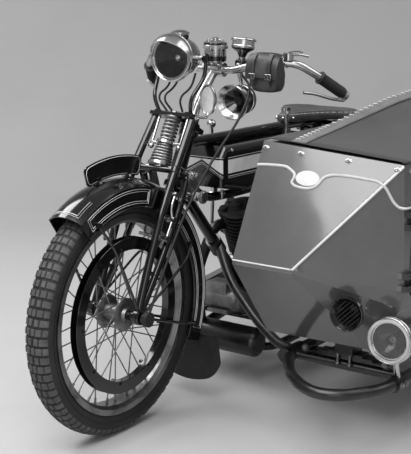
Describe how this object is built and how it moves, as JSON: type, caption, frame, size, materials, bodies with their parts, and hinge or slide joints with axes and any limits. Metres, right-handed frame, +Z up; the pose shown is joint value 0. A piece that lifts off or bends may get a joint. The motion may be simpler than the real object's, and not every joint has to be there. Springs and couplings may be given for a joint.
{
  "type": "sidecar motorcycle",
  "caption": "Veteran V-twin motorcycle with girder fork and a faceted passenger sidecar on its left; steers, rolls on three wheels, door and rear stand swing.",
  "frame": {"origin": "on the floor under the middle of the whole outfit, three wheels standing on it", "axes": "+X ahead, the way it drives, +Y to the rider's left where the sidecar is, +Z up"},
  "size_m": [2.1419, 1.5206, 1.0713],
  "materials": {
    "tyre_rubber": "moulded block tread",
    "nickel_plate": "polished nickel plate",
    "spoke_enamel": "worn enamel",
    "black_enamel": "stoved gloss",
    "tank_enamel": "gloss, cream panel",
    "saddle_leather": "waxed hide",
    "cast_alloy": "sand cast",
    "cylinder_iron": "heat dulled",
    "brass": "dull",
    "spring_steel": "drawn wire",
    "soft_rubber": "matt",
    "lamp_glass": "clear",
    "body_enamel": "gloss coach enamel",
    "canvas": "proofed canvas"
  },
  "bodies": {
    "outfit": {"frame_front": "black_enamel", "frame_rails": "black_enamel", "frame_rear": "black_enamel", "tank": "tank_enamel", "tank_fittings": "nickel_plate", "saddle": "saddle_leather", "saddle_frame": "black_enamel", "crankcase": "cast_alloy", "cylinders": "cylinder_iron", "timing_case": "cast_alloy", "magneto": "cast_alloy", "carburettor": "brass", "exhaust": "cylinder_iron", "gearbox": "cast_alloy", "chaincases": "black_enamel", "footboards": "cast_alloy", "hand_foot_levers": "black_enamel", "guard_rear": "black_enamel", "guard_side": "black_enamel", "carrier": "black_enamel", "tool_boxes": "black_enamel", "sidecar_chassis": "black_enamel", "sidecar_body": "body_enamel", "sidecar_seat": "saddle_leather", "sidecar_cover": "canvas", "side_lamp": "nickel_plate", "side_lamp_glass": "lamp_glass", "side_horn": "black_enamel", "connections": "black_enamel", "body_springs": "black_enamel"},
    "front_wheel": {"tyre_front": "tyre_rubber", "rim_front": "nickel_plate", "spokes_front": "spoke_enamel"},
    "rear_wheel": {"tyre_rear": "tyre_rubber", "rim_rear": "nickel_plate", "spokes_rear": "spoke_enamel"},
    "side_wheel": {"tyre_side": "tyre_rubber", "rim_side": "nickel_plate", "spokes_side": "spoke_enamel"},
    "steering": {"fork_girder": "black_enamel", "fork_links": "nickel_plate", "fork_spring": "spring_steel", "fork_brackets": "black_enamel", "handlebar": "nickel_plate", "levers": "nickel_plate", "grips": "soft_rubber", "switch_drum": "nickel_plate", "headlamp": "nickel_plate", "headlamp_glass": "lamp_glass", "speedometer": "nickel_plate", "horn": "nickel_plate", "mirror": "nickel_plate", "pouch": "saddle_leather", "guard_front": "black_enamel", "front_plate": "black_enamel", "mud_flap": "soft_rubber", "cables": "soft_rubber", "front_brake": "nickel_plate"},
    "door": {"sidecar_door": "body_enamel"},
    "stand": {"rear_stand": "black_enamel"}
  },
  "joints": [
    {"name": "steering", "type": "hinge", "parent": "outfit", "child": "steering", "pos_m": [0.811, -0.40671, 0], "axis": [-0.454, 0, 0.891], "range_deg": [-30, 26]},
    {"name": "front_wheel_spin", "type": "hinge", "parent": "steering", "child": "front_wheel", "pos_m": [0.741, -0.40671, 0.33], "axis": [0, 1, 0], "continuous": true},
    {"name": "rear_wheel_spin", "type": "hinge", "parent": "outfit", "child": "rear_wheel", "pos_m": [-0.679, -0.40671, 0.33], "axis": [0, 1, 0], "continuous": true},
    {"name": "side_wheel_spin", "type": "hinge", "parent": "outfit", "child": "side_wheel", "pos_m": [-0.489, 0.68829, 0.33], "axis": [0, 1, 0], "continuous": true},
    {"name": "sidecar_door", "type": "hinge", "parent": "outfit", "child": "door", "pos_m": [0.4355, 0.30829, 0], "axis": [0, 0, -1], "range_deg": [0, 75]},
    {"name": "rear_stand", "type": "hinge", "parent": "outfit", "child": "stand", "pos_m": [-0.699, -0.40671, 0.292], "axis": [0, -1, 0], "range_deg": [0, 62]}
  ]
}
